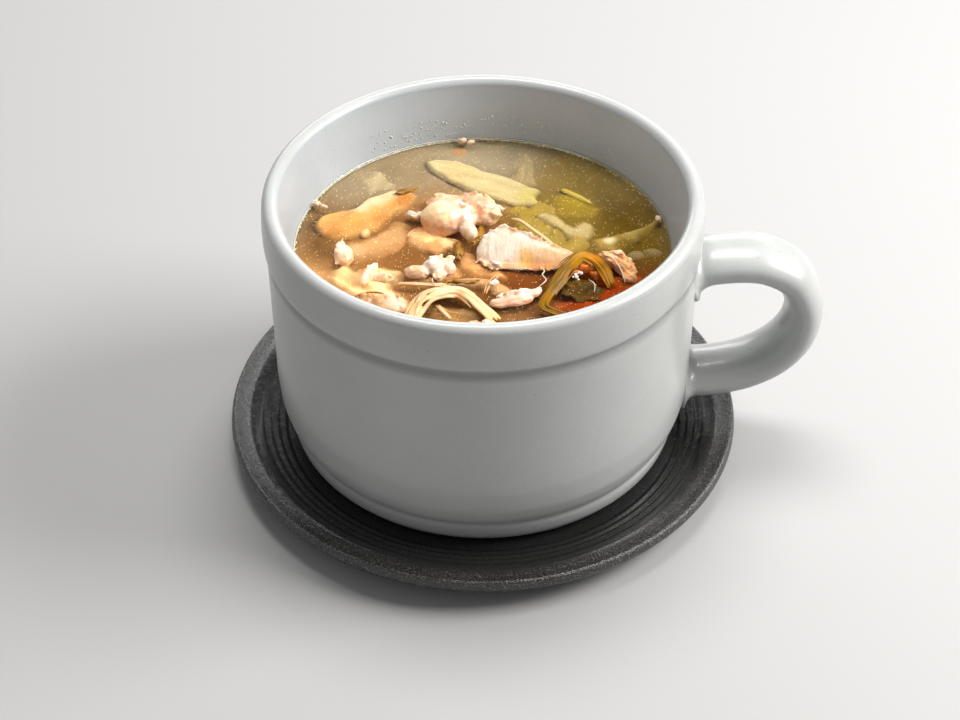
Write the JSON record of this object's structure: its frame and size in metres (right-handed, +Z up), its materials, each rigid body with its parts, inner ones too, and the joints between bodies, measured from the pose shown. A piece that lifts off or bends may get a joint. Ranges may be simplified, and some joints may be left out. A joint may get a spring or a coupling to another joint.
{
  "type": "chicken soup in a mug",
  "caption": "Chicken soup with torn chicken, herb stems and clear broth, served in a grey glazed soup mug with a loop handle on a dark ridged saucer.",
  "frame": {"origin": "bottom centre of the whole object's box, on the surface that the saucer stands on; the mug's axis is at x = -0.01145", "axes": "+Z up, +X from the mug's axis towards the handle, -Y towards the viewer"},
  "size_m": [0.1773, 0.1544, 0.0889],
  "materials": {
    "grey_glaze": "glossy, finely speckled",
    "matte_black": "satin, with a brushed rim",
    "broth": "wet, cloudy liquid",
    "white_meat": "moist, fibrous",
    "pink_meat": "moist, torn",
    "tan_meat": "moist, fibrous",
    "meat_fibre": "moist strands",
    "herb_stem": "wet, ribbed",
    "herb_leaf": "wet, limp"
  },
  "bodies": {
    "root": {"mug": "grey_glaze", "saucer": "matte_black", "broth": "broth", "chicken_breast": "white_meat", "chicken_knuckle": "pink_meat", "chicken_nugget": "white_meat", "chicken_flake": "white_meat", "chicken_rod": "tan_meat", "chicken_frayed": "pink_meat", "chicken_front": "white_meat", "chicken_side": "pink_meat", "chicken_shank": "tan_meat", "chicken_arc": "meat_fibre", "shred_left": "meat_fibre", "shred_front": "meat_fibre", "shred_middle": "meat_fibre", "strand_pale": "meat_fibre", "herb_stems": "herb_stem", "herb_leaf": "herb_leaf"}
  },
  "joints": []
}
